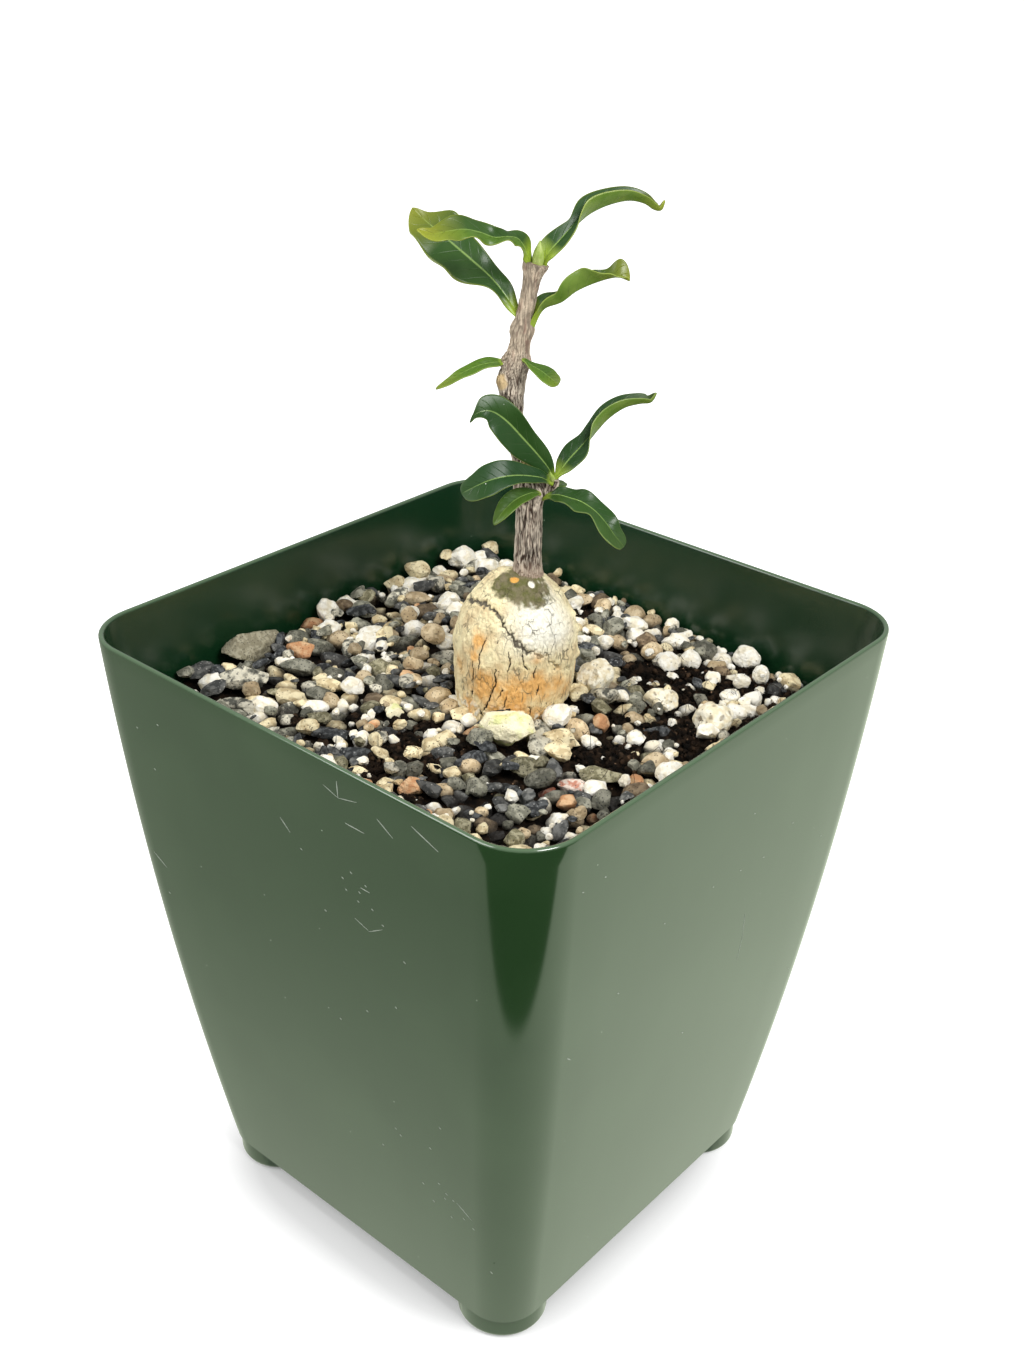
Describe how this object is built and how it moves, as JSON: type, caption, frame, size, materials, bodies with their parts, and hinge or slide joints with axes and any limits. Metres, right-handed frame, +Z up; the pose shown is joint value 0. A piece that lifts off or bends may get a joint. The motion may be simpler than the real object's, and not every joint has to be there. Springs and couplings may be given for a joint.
{
  "type": "potted fockea",
  "caption": "Young fockea with a swollen caudex, a ridged stem, wavy leaves and mixed grit, in a deep square nursery pot on corner feet.",
  "frame": {"origin": "on the ground under the middle of the pot", "axes": "+Z up, X and Y along the pot's sides; the plant faces the corner at +X, -Y"},
  "size_m": [0.1, 0.1, 0.1867],
  "materials": {
    "green_plastic": "gloss moulded",
    "peat": "crumbly, matt",
    "caudex_bark": "corky, cracked",
    "stem_bark": "ridged bark",
    "leaf_green": "waxy, satin",
    "bud_green": "satin",
    "stone_grey": "rough",
    "stone_slate": "rough",
    "stone_black": "rough",
    "stone_white": "rough",
    "stone_cream": "rough",
    "stone_tan": "rough",
    "stone_orange": "rough",
    "stone_olive": "rough"
  },
  "bodies": {
    "root": {"caudex": "caudex_bark", "crown_bud": "bud_green", "leaf_crown_left": "leaf_green", "leaf_crown_right": "leaf_green", "leaf_middle_left": "leaf_green", "leaf_middle_right": "leaf_green", "leaf_node_left": "leaf_green", "leaf_node_right": "leaf_green", "leaf_shoot_back": "leaf_green", "leaf_shoot_left": "leaf_green", "leaf_shoot_right": "leaf_green", "leaf_shoot_top": "leaf_green", "leaf_upper_left": "leaf_green", "leaf_upper_right": "leaf_green", "main_stem": "stem_bark", "pot": "green_plastic", "shoot_bud": "bud_green", "side_shoot": "stem_bark", "soil": "peat", "stone_basalt_long": "stone_black", "stone_basalt_right": "stone_black", "stone_basalt_short": "stone_black", "stone_cobble": "stone_grey", "stone_cream_back": "stone_cream", "stone_cream_corner": "stone_cream", "stone_cream_left": "stone_cream", "stone_cream_rear": "stone_cream", "stone_cream_wall": "stone_cream", "stone_granite_chip": "stone_grey", "stone_grey_green": "stone_grey", "stone_lime_boulder": "stone_cream", "stone_olive_slab": "stone_olive", "stone_orange_egg": "stone_orange", "stone_orange_front": "stone_orange", "stone_orange_pebble": "stone_orange", "stone_orange_small": "stone_orange", "stone_perlite_corner": "stone_white", "stone_perlite_front": "stone_white", "stone_perlite_high": "stone_white", "stone_perlite_mid": "stone_white", "stone_perlite_rear": "stone_white", "stone_pink_long": "stone_white", "stone_pumice_big": "stone_white", "stone_pumice_front": "stone_tan", "stone_pumice_side": "stone_white", "stone_pumice_wedge": "stone_cream", "stone_quartz_grey": "stone_grey", "stone_salmon": "stone_orange", "stone_slate_chip": "stone_slate", "stone_tan_front": "stone_tan", "stone_tan_slab": "stone_tan", "stone_white_angular": "stone_white", "stone_white_back": "stone_white", "stone_white_left": "stone_white", "stone_white_oval": "stone_white", "stone_white_right": "stone_white", "stone_white_wall_back": "stone_white", "stone_white_wall_high": "stone_white", "stone_white_wall_low": "stone_white"}
  },
  "joints": []
}
